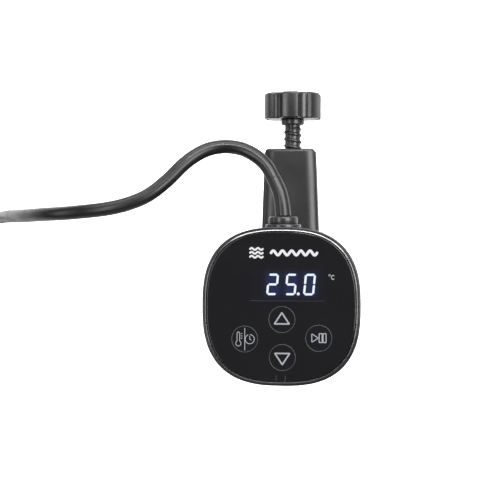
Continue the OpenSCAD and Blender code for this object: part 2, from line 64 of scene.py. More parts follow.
# ---------------------------------------- places from the frame
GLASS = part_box("glass_panel")
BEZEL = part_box("head_bezel")
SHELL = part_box("head_shell")
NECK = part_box("neck_housing")
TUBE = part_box("steel_tube")
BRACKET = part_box("clamp_bracket")
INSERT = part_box("thread_insert")
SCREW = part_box("clamp_screw")
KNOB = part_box("clamp_knob")
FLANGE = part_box("gland_flange")
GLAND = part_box("cord_gland")
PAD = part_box("pad_face")
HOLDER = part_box("pad_holder")
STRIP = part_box("jaw_strip")
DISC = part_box("knob_disc")

TOP_Z = GLASS[1][2]
GLASS_A = GLASS[1][0]
HEAD_A = BEZEL[1][0]
HEAD_EXP = 2.65  # the outline is a superellipse of this power
NECK_R = NECK[1][0]
TUBE_R = TUBE[1][0]
SCREW_Z = (KNOB[0][2] + KNOB[1][2]) / 2
GLAND_Z = (GLAND[0][2] + GLAND[1][2]) / 2

# ---------------------------------------- camera
scene = bpy.context.scene
scene.view_settings.view_transform = "Standard"
scene.view_settings.look = "None"

CAMERA_AT = Vector(mm(75.3, 44, 1145))
CAMERA_AIM = Vector((-0.01745, 0.032, TOP_Z))
cam_data = bpy.data.cameras.new("camera")
cam_data.lens = 96.2
cam_data.clip_start = 0.05
camera = bpy.data.objects.new("camera", cam_data)
scene.collection.objects.link(camera)
camera.location = CAMERA_AT
look = (CAMERA_AIM - CAMERA_AT).normalized()
right = look.cross(Vector((0, 1, 0))).normalized()
up = right.cross(look)
camera.rotation_mode = "QUATERNION"
turn = Matrix((right, up, -look)).transposed()
camera.rotation_quaternion = turn.to_quaternion()
scene.camera = camera


# ---------------------------------------- material nodes
M = {}


class Tree:
    """A short way to write a material's nodes. The material goes into M under its name."""

    def __init__(self, name):
        self.mat = M[name] = bpy.data.materials.new(name)
        self.mat.use_nodes = True
        self.nodes = self.mat.node_tree.nodes
        self.links = self.mat.node_tree.links
        self.shader = self.nodes["Principled BSDF"]
        self.coords = self.nodes.new("ShaderNodeTexCoord").outputs["Object"]

    def link(self, source, target):
        if isinstance(source, (int, float)):
            target.default_value = source
        elif isinstance(source, (tuple, list)):
            target.default_value = tuple(source) + ((1.0,) if len(source) == 3 and
                                                    len(target.default_value) == 4 else ())
        else:
            self.links.new(source, target)

    def math(self, op, a, b=0.0):
        node = self.nodes.new("ShaderNodeMath")
        node.operation = op
        self.link(a, node.inputs[0])
        self.link(b, node.inputs[1])
        return node.outputs[0]

    def make(self, kind, **inputs):
        node = self.nodes.new(kind)
        for key, value in inputs.items():
            self.link(value, node.inputs[key.replace("_", " ")])
        return node

    def scaled(self, factors):
        return self.make("ShaderNodeMapping", Scale=factors, Vector=self.coords).outputs[0]

    def noise(self, scale, detail=3.0, coords=None, rough=0.55):
        node = self.make("ShaderNodeTexNoise", Scale=scale, Detail=detail, Roughness=rough,
                         Vector=coords or self.coords)
        return node.outputs["Fac"]

    def voronoi(self, scale, feature="F1", coords=None):
        node = self.make("ShaderNodeTexVoronoi", Scale=scale, Vector=coords or self.coords)
        node.feature = feature
        return node.outputs["Distance"]

    def spread(self, value, low, high, to_low, to_high):
        node = self.make("ShaderNodeMapRange", Value=value, From_Min=low, From_Max=high,
                         To_Min=to_low, To_Max=to_high)
        return node.outputs["Result"]

    def blend(self, factor, colour_a, colour_b):
        node = self.nodes.new("ShaderNodeMix")
        node.data_type = "RGBA"
        self.link(factor, node.inputs["Factor"])
        self.link(colour_a, node.inputs["A"])
        self.link(colour_b, node.inputs["B"])
        return node.outputs["Result"]

    def edge_wear(self):
        """1 on convex edges, 0 elsewhere."""
        node = self.nodes.new("ShaderNodeNewGeometry")
        return self.spread(node.outputs["Pointiness"], 0.51, 0.56, 0.0, 1.0)

    def bump(self, height, distance, strength=1.0):
        node = self.make("ShaderNodeBump", Distance=distance, Strength=strength, Height=height)
        self.links.new(node.outputs["Normal"], self.shader.inputs["Normal"])

    def set(self, **values):
        for key, value in values.items():
            self.link(value, self.shader.inputs[key.replace("_", " ")])
        return self


def tint(colour, factor):
    return tuple(min(1.0, c * factor) for c in colour)


def moulded(name, colour, rough=0.42, grain=2600, depth=0.04, spread=0.18, wear=0.35, shine=0.5):
    """Moulded plastic: fine spark-eroded texture, slight colour drift and rubbed edges."""
    t = Tree(name)
    drift = t.noise(38, 2)
    fine = t.noise(grain, 2)
    body = t.blend(t.spread(drift, 0.3, 0.7, 0, 1), tint(colour, 1 - spread), tint(colour, 1 + spread))
    worn = t.math("MULTIPLY", t.edge_wear(), wear)
    t.set(Base_Color=t.blend(worn, body, tint(colour, 2.2)))
    t.set(Roughness=t.math("ADD", t.spread(fine, 0.3, 0.7, rough - 0.05, rough + 0.06),
                           t.spread(drift, 0.3, 0.7, -0.03, 0.03)))
    t.set(Specular_IOR_Level=shine)
    t.bump(fine, depth * MM, 0.6)


def rubber(name, colour, rough=0.55, grain=1800, depth=0.05, shine=0.5):
    """Rubber: dull, with pores and a dusty bloom."""
    t = Tree(name)
    bloom = t.noise(60, 4)
    pores = t.voronoi(grain)
    t.set(Base_Color=t.blend(t.spread(bloom, 0.35, 0.75, 0, 1), colour, tint(colour, 1.5)))
    t.set(Roughness=t.spread(bloom, 0.3, 0.7, rough - 0.05, rough + 0.08))
    t.set(Specular_IOR_Level=shine)
    t.bump(pores, depth * MM, 0.5)


def brushed(name, colour, along=(1, 1, 0.02), rough=0.27, scale=2600, depth=0.006):
    """Brushed metal: long fine scratches along the axis with the small factor."""
    t = Tree(name)
    t.set(Metallic=1.0)
    lines = t.noise(scale, 3, t.scaled(along), 0.7)
    cloud = t.noise(26, 3)
    t.set(Base_Color=t.blend(t.spread(lines, 0.3, 0.7, 0, 1), tint(colour, 0.86), tint(colour, 1.08)))
    t.set(Roughness=t.math("ADD", t.spread(lines, 0.3, 0.7, rough - 0.07, rough + 0.1),
                           t.spread(cloud, 0.3, 0.7, -0.03, 0.05)))
    t.bump(lines, depth * MM, 0.5)


def metal(name, colour, rough=0.3, grain=900, depth=0.01):
    """Plain metal: faint tumbling marks and stains."""
    t = Tree(name)
    t.set(Metallic=1.0)
    marks = t.noise(grain, 4)
    stain = t.noise(70, 3)
    t.set(Base_Color=t.blend(t.spread(stain, 0.35, 0.7, 0, 1), colour, tint(colour, 0.8)))
    t.set(Roughness=t.spread(marks, 0.3, 0.7, rough - 0.08, rough + 0.12))
    t.bump(marks, depth * MM, 0.4)


def glowing(name, colour, strength):
    """A lit mark: slightly uneven light under a diffuser. On the faint marks this is painted glow, as no
    lamp lies behind them.
    """
    t = Tree(name)
    cells = t.noise(900, 2)
    t.set(Base_Color=(0.01, 0.01, 0.012), Roughness=0.25)
    t.set(Emission_Color=t.blend(t.spread(cells, 0.3, 0.7, 0, 1), tint(colour, 0.93), colour))
    t.set(Emission_Strength=strength)


# The display's figures, each with its centre's x, and the y of their row, in mm.
FIGURES = (("2", -4.6), ("5", 5.85), ("0", 16.3))
FIGURE_ROW = 12.6


def panel_glass(name):
    """Near-black toughened glass, with a blue haze where the display shines through."""
    t = Tree(name)
    x, y, _ = t.make("ShaderNodeSeparateXYZ", Vector=t.coords).outputs
    smear = t.noise(45, 4)
    dust = t.noise(1500, 1)

    def haze(cx, cy, hx, hy, reach, power):
        dx = t.math("MAXIMUM", t.math("SUBTRACT", t.math("ABSOLUTE", t.math("SUBTRACT", x, cx)), hx))
        dy = t.math("MAXIMUM", t.math("SUBTRACT", t.math("ABSOLUTE", t.math("SUBTRACT", y, cy)), hy))
        away = t.math("SQRT", t.math("ADD", t.math("MULTIPLY", dx, dx), t.math("MULTIPLY", dy, dy)))
        return t.math("POWER", t.spread(away, 0.0, reach, 1.0, 0.0), power)

    near = 0.0
    for _, cx in FIGURES:
        near = t.math("ADD", near, haze(*mm(cx, FIGURE_ROW, 2.6, 5.2), 4.6 * MM, 2.4))
    wide = haze(*mm(4.0, FIGURE_ROW, 20.5, 8.6), 4 * MM, 1.0)
    base = t.blend(t.spread(smear, 0.35, 0.7, 0, 1), (0.0049, 0.0049, 0.0056), (0.0059, 0.0058, 0.0065))
    t.set(Base_Color=base)
    t.set(Roughness=t.math("ADD", t.spread(smear, 0.3, 0.75, 0.05, 0.1),
                           t.spread(dust, 0.62, 0.8, 0.0, 0.06)))
    glow = t.math("ADD", t.math("MULTIPLY", near, 0.066), t.math("MULTIPLY", wide, 0.003))
    node = t.nodes.new("ShaderNodeVectorMath")
    node.operation = "SCALE"
    node.inputs[0].default_value = (0.12, 0.22, 1.0)
    t.links.new(glow, node.inputs["Scale"])
    t.links.new(node.outputs[0], t.shader.inputs["Emission Color"])
    t.set(Emission_Strength=1.0, IOR=1.5)


def circuit_board(name):
    """Green solder mask with darker copper traces in a grid of blocks."""
    t = Tree(name)
    traces = t.voronoi(420, "DISTANCE_TO_EDGE", t.scaled((1, 1, 0.01)))
    mask = t.spread(traces, 0.02, 0.06, 1.0, 0.0)
    t.set(Base_Color=t.blend(mask, (0.012, 0.085, 0.035), (0.03, 0.16, 0.07)), Roughness=0.32)
    t.bump(mask, 0.03 * MM)


def woven(name, colour):
    """Hook-and-loop tape: a fine felted weave."""
    t = Tree(name)
    loops = t.voronoi(2200)
    t.set(Base_Color=t.blend(t.spread(loops, 0, 0.8, 0, 1), tint(colour, 1.6), tint(colour, 0.6)),
          Roughness=0.9)
    t.bump(loops, 0.15 * MM)


# Plastics, rubbers and plain metals: colour, roughness, grain per metre and relief in mm.
# Brushed metals have the scratches' direction after the colour. Lit marks: colour and strength.
panel_glass("panel_glass")
brushed("trim_metal", (0.36, 0.36, 0.37), (1, 1, 0.3), 0.28, 1400, 0.003)
moulded("housing", (0.018, 0.018, 0.019), 0.32, 3200, 0.02)
moulded("bezel_plastic", (0.011, 0.011, 0.0115), 0.24, 3600, 0.006, shine=0.36)
moulded("clamp_plastic", (0.0085, 0.0085, 0.0089), 0.34, 2400, 0.03, shine=0.47)
moulded("screw_plastic", (0.012, 0.012, 0.0124), 0.3, 2600, 0.02)
moulded("gland_plastic", (0.01, 0.01, 0.0104), 0.3, 2800, 0.015)
brushed("knob_trim", (0.32, 0.32, 0.33), (1, 0.05, 1), 0.3, 1800)
rubber("soft_rubber", (0.022, 0.022, 0.023))
rubber("cord_rubber", (0.007, 0.007, 0.0073), 0.29, 2600, 0.008, shine=0.36)
brushed("tube_steel", (0.4, 0.4, 0.41), rough=0.34)
metal("bare_steel", (0.62, 0.62, 0.62), 0.26)
metal("motor_metal", (0.5, 0.5, 0.52), 0.4)
metal("brass", (0.6, 0.44, 0.22), 0.28)
moulded("inner_plastic", (0.03, 0.03, 0.03), 0.5)
moulded("white_plastic", (0.7, 0.7, 0.66), 0.45, wear=0.0)
circuit_board("board")
moulded("winding", (0.6, 0.45, 0.08), 0.5)
moulded("component_blue", (0.03, 0.06, 0.3), 0.3)
moulded("component_green", (0.05, 0.3, 0.12), 0.45)
metal("spring_metal", (0.7, 0.68, 0.6), 0.2)
woven("tie", (0.02, 0.02, 0.022))
metal("pin_metal", (0.74, 0.72, 0.66), 0.18)
glowing("digits", (0.86, 0.94, 1.0), 1.02)
glowing("printed_white", (0.84, 0.85, 0.87), 1.0)
glowing("icons", (0.42, 0.45, 0.5), 1.0)
# faint_marks is painted faint glow: the bezel notches and the tube's level marks shine though nothing
# lights them from inside.
glowing("faint_marks", (0.045, 0.047, 0.05), 1.0)
glowing("window_line", (0.012, 0.017, 0.022), 1.0)
moulded("key_ring", (0.011, 0.013, 0.015), 0.5, 4000, 0.003, wear=0.0)


# ---------------------------------------- mesh tools
def piece(name, verts, faces, material, body="root", stands_for=(), slot=None, smooth=True, sharp=None):
    """A mesh object that rides on a body. Edges that turn by more than sharp degrees stay crisp."""
    mesh = bpy.data.meshes.new(name)
    mesh.from_pydata([tuple(v) for v in verts], [], faces)
    bm = bmesh.new()
    bm.from_mesh(mesh)
    bmesh.ops.remove_doubles(bm, verts=bm.verts, dist=1e-7)
    bmesh.ops.recalc_face_normals(bm, faces=bm.faces)
    bm.normal_update()
    for face in bm.faces:
        face.smooth = smooth
    for edge in bm.edges:
        if sharp and len(edge.link_faces) == 2 and edge.calc_face_angle(0) > math.radians(sharp):
            edge.smooth = False
    bm.to_mesh(mesh)
    bm.free()
    mesh.materials.append(M[material])
    obj = bpy.data.objects.new(name, mesh)
    scene.collection.objects.link(obj)
    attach(obj, body)
    if stands_for:
        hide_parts(*stands_for)
    return obj


def skin(rings, cap_start=True, cap_end=True, closed=False):
    """Verts and faces of a surface through rings of equal length."""
    n = len(rings[0])
    verts = [v for ring in rings for v in ring]
    faces = []
    spans = len(rings) if closed else len(rings) - 1
    for i in range(spans):
        j = (i + 1) % len(rings)
        for k in range(n):
            m = (k + 1) % n
            faces.append((i * n + k, i * n + m, j * n + m, j * n + k))
    if cap_start and not closed:
        faces.append(tuple(range(n - 1, -1, -1)))
    if cap_end and not closed:
        faces.append(tuple((len(rings) - 1) * n + k for k in range(n)))
    return verts, faces


def join(parts):
    """One verts and faces pair out of several."""
    verts, faces = [], []
    for v, f in parts:
        base = len(verts)
        verts += list(v)
        faces += [tuple(i + base for i in face) for face in f]
    return verts, faces


def plan_ring(a, z, round_share=0.0, round_r=0.0, n=192):
    """The head's outline at a height, blended by round_share towards a circle."""
    ring = []
    for k in range(n):
        t = 2 * math.pi * k / n
        c, s = math.cos(t), math.sin(t)
        square = a / (abs(c) ** HEAD_EXP + abs(s) ** HEAD_EXP) ** (1 / HEAD_EXP)
        r = square + (round_r - square) * round_share
        ring.append((r * c, r * s, z))
    return ring


def circle_ring(r, z, n=96):
    return [(r * math.cos(2 * math.pi * k / n), r * math.sin(2 * math.pi * k / n), z) for k in range(n)]


def arc(cx, cy, r, a0, a1, steps):
    """Points of an arc in a profile's plane, angles in degrees."""
    return [(cx + r * math.cos(math.radians(a0 + (a1 - a0) * i / steps)),
             cy + r * math.sin(math.radians(a0 + (a1 - a0) * i / steps))) for i in range(steps + 1)]


def lathe_z(profile, n=96):
    """A ring-shaped or solid turned form: profile is a closed loop or a line of (r, z)."""
    return [circle_ring(max(r, 1e-6), z, n) for r, z in profile]


def turned_y(name, profile, material, z=SCREW_Z, n=96, solid=True, **more):
    """A form turned about a line along Y at height z: profile is (r, y), with flat ends if solid."""
    verts, faces = skin(lathe_z(profile, n), solid, solid)
    return piece(name, [(v[0], v[2], z - v[1]) for v in verts], faces, material, **more)


def catmull(points, steps):
    """A smooth line through the points."""
    out = []
    n = len(points)
    for i in range(n - 1):
        p0, p1 = Vector(points[max(i - 1, 0)]), Vector(points[i])
        p2, p3 = Vector(points[i + 1]), Vector(points[min(i + 2, n - 1)])
        for k in range(steps):
            t = k / steps
            out.append(0.5 * (2 * p1 + (p2 - p0) * t + (2 * p0 - 5 * p1 + 4 * p2 - p3) * t * t
                              + (3 * p1 - p0 - 3 * p2 + p3) * t ** 3))
    out.append(Vector(points[-1]))
    return out


def sweep(path, radius, sides=20, start_side=Vector((0.2, 0.1, 1))):
    """Rings of a tube along the path. radius is a number or a function of the share 0 to 1."""
    rings = []
    side = None
    for i, p in enumerate(path):
        ahead = (path[min(i + 1, len(path) - 1)] - path[max(i - 1, 0)]).normalized()
        ref = start_side if side is None else side
        side = (ref - ahead * ref.dot(ahead)).normalized()
        other = ahead.cross(side)
        r = radius(i / (len(path) - 1)) if callable(radius) else radius
        rings.append([p + r * (math.cos(2 * math.pi * k / sides) * side
                               + math.sin(2 * math.pi * k / sides) * other) for k in range(sides)])
    return rings


# ---------------------------------------- supply lead
CORD_D = 8.2 * MM
CORD_R = CORD_D / 2
ROUTE = mm_each(
    (0, 51, 380.5), (-0.7, 58.2, 379.8), (-2.4, 65.5, 378.3), (-5.9, 73, 376.3), (-10.4, 80.5, 374.5),
    (-16.6, 86.2, 373.2), (-25.6, 90.7, 372.6), (-36.8, 91.8, 373.3), (-47.2, 89.1, 376),
    (-57.4, 82, 379.8), (-67.5, 71.6, 383.5), (-77.6, 63.4, 387), (-88.6, 58.5, 389.3),
    (-101, 55.6, 389.7), (-116, 54, 386.5), (-131, 53, 379), (-147, 52.5, 366), (-163, 52, 346),
    (-178, 52, 321), (-192, 52, 291), (-205, 52, 257), (-217, 52, 221), (-229, 52, 184),
    (-241, 52, 147), (-253, 52.5, 110), (-265, 53, 76), (-278, 53, 46), (-293, 53, 22),
    (-311, 53, 8), (-330, 53, 4.1))
COIL_C = mm(-345, 4)
COIL_OUTER = 49.1 * MM
COIL_INNER = COIL_OUTER - CORD_D
TAIL = mm_each((-359, 50.5, 16), (-372, 44, 22), (-381, 35, 28.5), (-386.5, 26, 32.2), (-390, 18, 34.4))


def ease(value, low, high):
    t = clamp((value - low) / (high - low))
    return t * t * (3 - 2 * t)


def coil_points():
    """Three turns: outer, inner, then inner on top, leaving on the outer lane on top."""
    points = []
    turns, steps = 3, 36
    for i in range(1, turns * steps + 1):
        swept = 360 * i / steps
        inward = ease(swept, 300, 360)
        outward = ease(swept, 960, 1040)
        rise = ease(swept, 590, 660)
        r = COIL_OUTER + (COIL_INNER - COIL_OUTER) * (inward - outward)
        angle = math.radians(90 + swept)
        points.append((COIL_C[0] + r * math.cos(angle), COIL_C[1] + r * math.sin(angle),
                       CORD_R + rise * CORD_D))
    return points


def supply_lead():
    entry = (COIL_C[0], COIL_C[1] + COIL_OUTER, CORD_R)
    path = catmull(ROUTE + [entry] + coil_points() + TAIL, 4)
    path = [Vector((p.x, p.y, max(p.z, CORD_R))) for p in path]
    verts, faces = skin(sweep(path, CORD_R))
    lead = piece("supply_lead", verts, faces, "cord_rubber",
                 stands_for=("supply_cord", "cord_coil", "cord_tail"))
    return lead, path


lead, lead_path = supply_lead()


def lead_sleeve():
    """The strain relief: a plain taper over the lead's first stretch, rounded at its lip."""
    path = catmull(ROUTE[:4], 14)
    tip = CORD_R + 0.05 * MM

    def radius(share):
        return tip + 0.5 * MM * (1 - share) ** 1.5

    return piece("lead_sleeve", *skin(sweep(path, radius, 32)), "cord_rubber",
                 stands_for=("strain_relief",))


sleeve = lead_sleeve()
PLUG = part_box("plug_body")
PLUG_X = (PLUG[0][0] + PLUG[1][0]) / 2
PLUG_Z = (PLUG[0][2] + PLUG[1][2]) / 2
PLUG_BACK, PLUG_FRONT = PLUG[1][1], PLUG[0][1]


def plug():
    """A straight round plug with a ribbed strain relief and a waisted grip."""
    r = (PLUG[1][0] - PLUG[0][0]) / 2
    profile = [(CORD_R, 0.0), (4.9 * MM, 0.0)]
    for i in range(5):
        y, rib = 1 + 3.6 * i, 5.1 + 0.32 * i
        profile += mm_each((rib, y), (rib + 0.25, y + 0.6), (rib + 0.25, y + 1.8), (rib, y + 2.4),
                           (rib - 0.7, y + 2.8), (rib - 0.7, y + 3.3))
    profile += mm_each((7, 19.6), (11.2, 20.4), (12.4, 22), (13.6, 26), (14.4, 29), (14.8, 31),
                       (14.6, 34), (15.2, 38), (16.6, 41))
    profile += arc(r - 1.6 * MM, 43.4 * MM, 1.6 * MM, -60, 0, 5)
    profile += arc(r - 1.2 * MM, 52.8 * MM, 1.2 * MM, 0, 90, 5)
    profile += [(r - 4 * MM, 54 * MM), (1e-6, 54 * MM)]
    verts, faces = skin(lathe_z(profile, 72), cap_end=False)
    placed = [(PLUG_X + v[0], PLUG_BACK - v[2], PLUG_Z + v[1]) for v in verts]
    return piece("plug_shell", placed, faces, "cord_rubber", stands_for=("plug_body",), sharp=50)


def plug_contacts():
    """Two round pins with domed ends."""
    parts = []
    for s in (-1, 1):
        profile = [(1e-6, 0), (2.4 * MM, 0), (2.4 * MM, 17 * MM)]
        profile += arc(1.2 * MM, 17.8 * MM, 1.2 * MM, 0, 90, 5) + [(1e-6, 19 * MM)]
        verts, faces = skin(lathe_z(profile, 40), False, False)
        parts.append(([(PLUG_X + s * 9.5 * MM + v[0], PLUG_FRONT - v[2], PLUG_Z + v[1]) for v in verts],
                      faces))
    return piece("plug_contacts", *join(parts), "pin_metal", stands_for=("plug_pins",), sharp=50)


def coil_band():
    """The tie: a flat tape wrapped round the coil's section."""
    low, high = COIL_INNER - CORD_R, COIL_OUTER + CORD_R
    top = 2 * CORD_D
    r = 3.2 * MM
    wall = 0.9 * MM
    section = []
    for cx, cz, a0 in ((high - r, top - r, 0), (low + r, top - r, 90), (low + r, r, 180),
                       (high - r, r, 270)):
        section += arc(cx, cz, r, a0, a0 + 90, 8)
    rings = []
    for y, out in ((-6.9, 0.2), (-6.9, 1.0), (-6.5, 1.1), (6.5, 1.1), (6.9, 1.0), (6.9, 0.2)):
        ring = []
        mid_x, mid_z = (low + high) / 2, top / 2
        for px, pz in section:
            dx, dz = px - mid_x, pz - mid_z
            grow = wall * out
            x = px + grow * dx / abs(mid_x - low)
            z = max(0.0, pz + grow * dz / mid_z)
            ring.append((COIL_C[0] + x, COIL_C[1] + y * MM, z))
        rings.append(ring)
    return piece("coil_band", *skin(rings, closed=True), "tie", stands_for=("coil_tie",))


plug_shell, plug_contact, band = plug(), plug_contacts(), coil_band()


# ---------------------------------------- head
GLASS_EDGE = GLASS_A + 0.4 * MM
TRIM_IN, TRIM_OUT = HEAD_A - 2.15 * MM, HEAD_A - 1.4 * MM


def glass_top():
    """The panel: flat, with an edge rounded over its last 0.45 mm."""
    lip, depth = 0.45 * MM, 0.35 * MM
    low = GLASS[0][2]
    rings = [plan_ring(GLASS_EDGE, low)]
    for i in range(9):
        t = math.radians(90 * i / 8)
        rings.append(plan_ring(GLASS_EDGE - lip * (1 - math.cos(t)), TOP_Z - depth * (1 - math.sin(t))))
    rings.append(plan_ring(GLASS_A * 0.9, TOP_Z))
    piece("glass_top", *skin(rings), "panel_glass", stands_for=("glass_panel",))


def trim_line():
    """The thin metal line round the glass, with its outer edge sloping outwards."""
    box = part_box("trim_ring")
    high, low = box[1][2], box[0][2]
    slope = 0.5 * MM
    rings = [plan_ring(TRIM_OUT, low), plan_ring(TRIM_OUT, high - slope),
             plan_ring(TRIM_OUT - 0.06 * MM, high - slope + 0.06 * MM),
             plan_ring(TRIM_IN + 0.14 * MM, high), plan_ring(TRIM_IN + 0.06 * MM, high - 0.01 * MM),
             plan_ring(TRIM_IN, high - 0.1 * MM), plan_ring(TRIM_IN, low)]
    piece("trim_line", *skin(rings, closed=True), "trim_metal", stands_for=("trim_ring",), sharp=25)


def bezel():
    """Bezel with a soft outer edge; the metal line sits in its inner corner."""
    inner = TRIM_OUT + 0.05 * MM
    high, low = BEZEL[1][2], BEZEL[0][2]
    ledge = GLASS_A - 2 * MM
    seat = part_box("panel_gasket")[0][2]
    outline = [(ledge, seat), (ledge, low), (HEAD_A - 0.5 * MM, low), (HEAD_A - 0.5 * MM, low + 0.35 * MM),
               (HEAD_A, low + 0.45 * MM)]
    soft = 0.8 * MM
    outline += arc(HEAD_A - soft, high - soft, soft, 0, 90, 8)
    outline += [(inner + 0.15 * MM, high), (inner, high - 0.2 * MM), (inner, seat)]
    piece("bezel_ring", *skin([plan_ring(r, z) for r, z in outline], closed=True), "bezel_plastic",
          slot="housing", stands_for=("head_bezel",), sharp=50)


def notch_lines():
    """Two short fine ribs across the panel's front edge and the bezel, following their heights."""
    high = BEZEL[1][2]
    lift, half = 0.03 * MM, 0.17 * MM
    profile = [(38.8 * MM, TOP_Z), (GLASS_EDGE - 0.45 * MM, TOP_Z),
               (GLASS_EDGE - 0.1 * MM, TOP_Z - 0.2 * MM), (TRIM_IN + 0.1 * MM, high + 0.05 * MM),
               (43.6 * MM, high)]
    parts = []
    for x in (-2.6 * MM, 2.6 * MM):
        rings = [[(x - half, -y, z + lift), (x + half, -y, z + lift), (x + half, -y, z - 3 * lift),
                  (x - half, -y, z - 3 * lift)] for y, z in profile]
        parts.append(skin(rings))
    # The ribs give off a painted faint glow (faint_marks) of their own, whatever the lamps do.
    piece("bezel_notches", *join(parts), "faint_marks", slot="housing", smooth=False)


def shell():
    """The head's side: slightly tapered, then drawn in to the neck in one sweep."""
    top, low = SHELL[1][2], SHELL[0][2]
    waist = low + 14 * MM
    bend_top = waist + 3 * MM
    taper = 1.4 * MM
    neck = NECK_R + 1 * MM
    lip_in, lip_drop = 0.08 * MM, 0.8 * MM
    rings = [plan_ring(HEAD_A - 6 * MM, top - 0.2 * MM), plan_ring(HEAD_A - 0.9 * MM, top - 0.2 * MM),
             plan_ring(HEAD_A - 0.35 * MM, top - 0.35 * MM), plan_ring(HEAD_A - lip_in, top - lip_drop)]
    side_steps = 6
    for i in range(1, side_steps + 1):
        s = i / side_steps
        rings.append(plan_ring(HEAD_A - lip_in - (taper - lip_in) * s,
                               top - lip_drop + (bend_top - top + lip_drop) * s))
    bend_steps = 16
    for i in range(1, bend_steps + 1):
        t = i / bend_steps
        turn_in = math.sin(t * math.pi / 2)
        drop = 1 - math.cos(t * math.pi / 2)
        a = HEAD_A - taper
        r_in = a + (neck - a) * drop ** 1.15
        z = bend_top - (bend_top - low) * turn_in
        rings.append(plan_ring(r_in, z, ease(t, 0.1, 1.0), neck))
    rings.append(plan_ring(neck - 3 * MM, low, 1.0, neck - 3 * MM))
    piece("shell_skin", *skin(rings, cap_start=False, cap_end=False), "housing",
          stands_for=("head_shell",), sharp=40)


def gland():
    """The collar that the lead comes out of, with its flange against the head."""
    outer = (GLAND[1][0] - GLAND[0][0]) / 2
    back, front = GLAND[0][1], GLAND[1][1]
    flange_back = FLANGE[1][1]
    hole, stem_r = CORD_R + 0.65 * MM, 6.5 * MM
    profile = [(hole, back), (stem_r, back), (stem_r, flange_back), (outer - 0.25 * MM, flange_back)]
    profile += [(outer, flange_back + 0.3 * MM)]
    profile += arc(outer - 1.1 * MM, front - 1.1 * MM, 1.1 * MM, 0, 90, 6)
    profile += [(hole + 0.6 * MM, front), (hole, front - 0.6 * MM), (hole, back)]
    turned_y("gland_collar", profile, "gland_plastic", GLAND_Z, 72, False, stands_for=("cord_gland",),
             sharp=45)
    r = (FLANGE[1][0] - FLANGE[0][0]) / 2
    inner, start, soft = 6.6 * MM, FLANGE[0][1] - 0.8 * MM, 0.6 * MM
    profile = [(inner, start), (r, start)] + arc(r - soft, flange_back - soft, soft, 0, 90, 5)
    profile += [(inner, flange_back), (inner, start)]
    turned_y("gland_washer", profile, "gland_plastic", GLAND_Z, 72, False, stands_for=("gland_flange",),
             sharp=45)


# ---------------------------------------- marks on the glass
MARK_Z = TOP_Z + 0.02 * MM
MARK_T = 0.05 * MM


def slab(outline, z=MARK_Z, t=MARK_T):
    """A thin plate with the outline, points in mm."""
    n = len(outline)
    verts = [(x * MM, y * MM, z) for x, y in outline] + [(x * MM, y * MM, z - t) for x, y in outline]
    faces = [tuple(range(n)), tuple(range(2 * n - 1, n - 1, -1))]
    faces += [(k, n + k, n + (k + 1) % n, (k + 1) % n) for k in range(n)]
    return verts, faces


def stroke(points, width, closed=False, z=MARK_Z):
    """A flat line of even width with round ends and mitred joints, points in mm."""
    pts = [Vector((p[0], p[1])) for p in points]
    n = len(pts)
    left, right_side = [], []
    for i in range(n):
        before = pts[i - 1] if (closed or i) else pts[i]
        after = pts[(i + 1) % n] if (closed or i < n - 1) else pts[i]
        d1 = (pts[i] - before).normalized() if (pts[i] - before).length else None
        d2 = (after - pts[i]).normalized() if (after - pts[i]).length else None
        d1 = d1 or d2
        d2 = d2 or d1
        normal = Vector((-(d1 + d2).y, (d1 + d2).x)).normalized()
        reach = width / 2 / max(0.45, normal.dot(Vector((-d1.y, d1.x))))
        left.append(pts[i] + normal * reach)
        right_side.append(pts[i] - normal * reach)
    verts, faces = [], []
    for side in (left, right_side):
        verts += [(p.x * MM, p.y * MM, z) for p in side]
    for side in (left, right_side):
        verts += [(p.x * MM, p.y * MM, z - MARK_T) for p in side]
    spans = n if closed else n - 1
    for i in range(spans):
        j = (i + 1) % n
        faces += [(i, j, n + j, n + i), (2 * n + i, 3 * n + i, 3 * n + j, 2 * n + j),
                  (i, 2 * n + i, 2 * n + j, j), (n + i, n + j, 3 * n + j, 3 * n + i)]
    parts = [(verts, faces)]
    if not closed:
        for end in (pts[0], pts[-1]):
            parts.append(slab(arc(end.x, end.y, width / 2, 0, 337.5, 15), z - 0.002 * MM))
    return join(parts)


def printed(name, parts, material):
    """Marks that lie on the glass."""
    piece(name, *join(parts), material, slot="panel_glass", smooth=False)


def rounded_polygon(points, radius, steps=5):
    """The corners of a closed outline, rounded. Points and radius in mm."""
    out = []
    n = len(points)
    for i in range(n):
        p, a, b = (Vector(points[i]), Vector(points[i - 1]), Vector(points[(i + 1) % n]))
        da, db = (a - p).normalized(), (b - p).normalized()
        half = da.angle(db) / 2
        cut = radius / math.tan(half)
        start, end = p + da * cut, p + db * cut
        for k in range(steps + 1):
            t = k / steps
            out.append(tuple((1 - t) ** 2 * start + 2 * t * (1 - t) * p + t * t * end))
    return out


DIGIT_H = 12.2
DIGIT_W = 6.3
STROKE = 1.22
SLANT = math.tan(math.radians(5.5))
SEGMENTS = {"0": "abcdef", "2": "abged", "5": "afgcd"}


